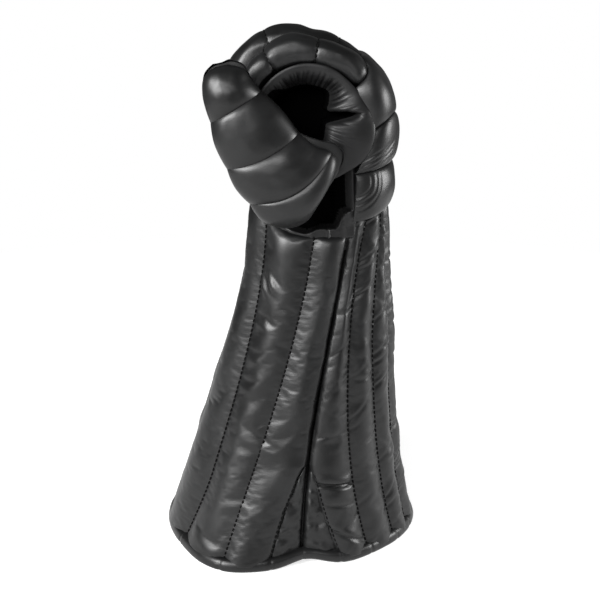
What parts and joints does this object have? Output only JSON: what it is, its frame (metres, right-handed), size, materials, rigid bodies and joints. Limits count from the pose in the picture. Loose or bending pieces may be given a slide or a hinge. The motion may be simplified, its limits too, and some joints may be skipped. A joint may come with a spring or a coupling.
{
  "type": "driver head cover",
  "caption": "Padded leather head cover for a golf driver, shaped as a gloved fist on a long cuff that flares to a bound hem.",
  "frame": {"origin": "centre of the hem, on the plane that the cover stands on", "axes": "+Z from the hem to the knuckles, +X towards the back of the fist, -X towards its palm, -Y towards the thumb"},
  "size_m": [0.1968, 0.1716, 0.3789],
  "materials": {
    "leather": "semi-gloss",
    "binding": "semi-gloss",
    "foam": "matt",
    "lining": "matt",
    "elastic": "matt",
    "thread": "satin"
  },
  "bodies": {
    "root": {"cuff_back_pad_1": "foam", "cuff_back_pad_2": "foam", "cuff_back_pad_3": "foam", "cuff_back_pad_4": "foam", "cuff_back_pad_5": "foam", "cuff_back_pad_6": "foam", "cuff_back_pad_7": "foam", "cuff_back_pad_8": "foam", "cuff_back_panel": "leather", "cuff_gusset_far": "leather", "cuff_gusset_near": "leather", "cuff_lining": "lining", "cuff_palm_pad_1": "foam", "cuff_palm_pad_2": "foam", "cuff_palm_pad_3": "foam", "cuff_palm_pad_4": "foam", "cuff_palm_pad_5": "foam", "cuff_palm_pad_6": "foam", "cuff_palm_panel": "leather", "hand_back_roll_cover": "leather", "hand_back_roll_pad": "foam", "hem_binding": "binding", "index_finger_cover": "leather", "index_finger_pad_1": "foam", "index_finger_pad_2": "foam", "index_finger_pad_3": "foam", "index_finger_pad_4": "foam", "little_finger_cover": "leather", "little_finger_pad_1": "foam", "little_finger_pad_2": "foam", "little_finger_pad_3": "foam", "little_finger_pad_4": "foam", "little_finger_side_leather": "leather", "middle_finger_cover": "leather", "middle_finger_pad_1": "foam", "middle_finger_pad_2": "foam", "middle_finger_pad_3": "foam", "middle_finger_pad_4": "foam", "palm_leather": "leather", "pocket_lining": "lining", "ring_finger_cover": "leather", "ring_finger_pad_1": "foam", "ring_finger_pad_2": "foam", "ring_finger_pad_3": "foam", "ring_finger_pad_4": "foam", "thumb_cover": "leather", "thumb_pad_1": "foam", "thumb_pad_2": "foam", "thumb_pad_3": "foam", "thumb_pad_4": "foam", "thumb_palm_leather": "leather", "wrist_elastic": "elastic", "wrist_palm_leather": "leather", "wrist_roll_lower_cover": "leather", "wrist_roll_lower_pad": "foam", "wrist_roll_upper_cover": "leather", "wrist_roll_upper_pad": "foam"}
  },
  "joints": []
}
